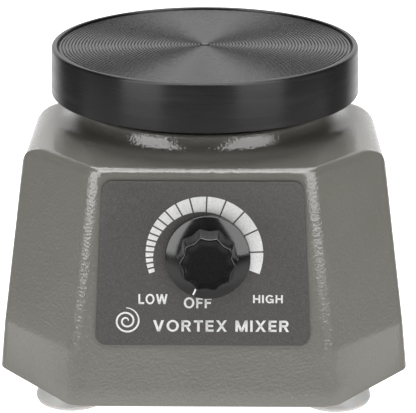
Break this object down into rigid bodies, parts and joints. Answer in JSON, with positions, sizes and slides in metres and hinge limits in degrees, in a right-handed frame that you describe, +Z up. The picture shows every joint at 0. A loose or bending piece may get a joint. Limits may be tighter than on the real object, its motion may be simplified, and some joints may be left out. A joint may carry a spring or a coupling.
{
  "type": "vortex_mixer",
  "caption": "Bench vortex mixer: ribbed rubber platform that orbits on an eccentric motor drive, on an eight-sided cast housing with a speed knob, rubber feet and a rear cord gland.",
  "frame": {"origin": "On the table, at the centre of the object's bounding box seen from above. The motor shaft stands on the Z axis.", "axes": "+Z up along the motor shaft, -Y the front with the knob and its panel, +Y the rear with the cord gland, +X the right-hand side seen from the front."},
  "size_m": [0.1452, 0.1614, 0.116],
  "materials": {
    "housing_paint": "hammered grey enamel",
    "platform_rubber": "moulded, satin",
    "foot_rubber": "moulded, satin",
    "panel_print": "printed matt film on thin aluminium sheet",
    "knob_plastic": "moulded, glossy",
    "gland_plastic": "moulded nylon",
    "zinc_sheet": "zinc plated",
    "steel": "turned",
    "bearing_steel": "ground",
    "cast_aluminium": "as cast",
    "laminated_iron": "varnished laminations",
    "winding_copper": "enamelled copper winding",
    "bush_bronze": "sintered bronze",
    "mount_rubber": "moulded, matt",
    "moulded_plastic": "moulded, matt",
    "circuit_board": "solder mask",
    "film_capacitor": "dipped epoxy",
    "lead_sleeve": "insulating sleeve"
  },
  "bodies": {
    "base": {"base_plate": "zinc_sheet", "capacitor": "film_capacitor", "control_board": "circuit_board", "cord_gland": "gland_plastic", "faceplate": "panel_print", "field_coil_left": "winding_copper", "field_coil_right": "winding_copper", "foot_front_left": "foot_rubber", "foot_front_right": "foot_rubber", "foot_rear_left": "foot_rubber", "foot_rear_right": "foot_rubber", "foot_screw_front_left": "steel", "foot_screw_front_right": "steel", "foot_screw_rear_left": "steel", "foot_screw_rear_right": "steel", "gland_nut": "gland_plastic", "grommet_front_left": "mount_rubber", "grommet_front_right": "mount_rubber", "grommet_rear_left": "mount_rubber", "grommet_rear_right": "mount_rubber", "guide_pin_1": "steel", "guide_pin_2": "steel", "guide_pin_3": "steel", "guide_sleeve_1": "mount_rubber", "guide_sleeve_2": "mount_rubber", "guide_sleeve_3": "mount_rubber", "housing": "housing_paint", "lower_bush": "bush_bronze", "lower_end_bracket": "cast_aluminium", "motor_lead": "lead_sleeve", "motor_mount_plate": "zinc_sheet", "mount_screw_front_left": "steel", "mount_screw_front_right": "steel", "mount_screw_rear_left": "steel", "mount_screw_rear_right": "steel", "pot_body": "steel", "pot_lead": "lead_sleeve", "pot_nut": "zinc_sheet", "stator_core": "laminated_iron", "through_bolt_front": "steel", "through_bolt_rear": "steel", "triac": "moulded_plastic", "triac_heat_sink": "cast_aluminium", "upper_bush": "bush_bronze", "upper_end_bracket": "cast_aluminium"},
    "rotor": {"rotor_core": "laminated_iron", "motor_shaft": "steel", "cooling_fan": "moulded_plastic", "eccentric_hub": "steel", "eccentric_set_screw": "steel", "bearing_inner_ring": "bearing_steel", "bearing_screw": "steel"},
    "cage": {"bearing_ball_cage": "bearing_steel"},
    "head": {"bearing_outer_ring": "bearing_steel", "bearing_circlip": "bearing_steel", "platform_plate": "cast_aluminium", "platform_cover": "platform_rubber"},
    "knob": {"knob": "knob_plastic", "pot_shaft": "steel"}
  },
  "joints": [
    {"name": "rotor_spin", "type": "hinge", "parent": "base", "child": "rotor", "pos_m": [0, 0, 0.05], "axis": [0, 0, 1], "continuous": true},
    {"name": "head_orbit", "type": "hinge", "parent": "rotor", "child": "head", "pos_m": [0, 0.002, 0.093], "axis": [0, 0, 1], "continuous": true},
    {"name": "cage_turn", "type": "hinge", "parent": "rotor", "child": "cage", "pos_m": [0, 0.002, 0.093], "axis": [0, 0, 1], "continuous": true},
    {"name": "knob_turn", "type": "hinge", "parent": "base", "child": "knob", "pos_m": [0.0017, -0.06574, 0.0605], "axis": [0, 0.9917, -0.1289], "range_deg": [0, 270]}
  ],
  "couplings": [
    {"joint": "head_orbit", "follows": "rotor_spin", "ratio": -1},
    {"joint": "cage_turn", "follows": "rotor_spin", "ratio": -0.61111}
  ]
}
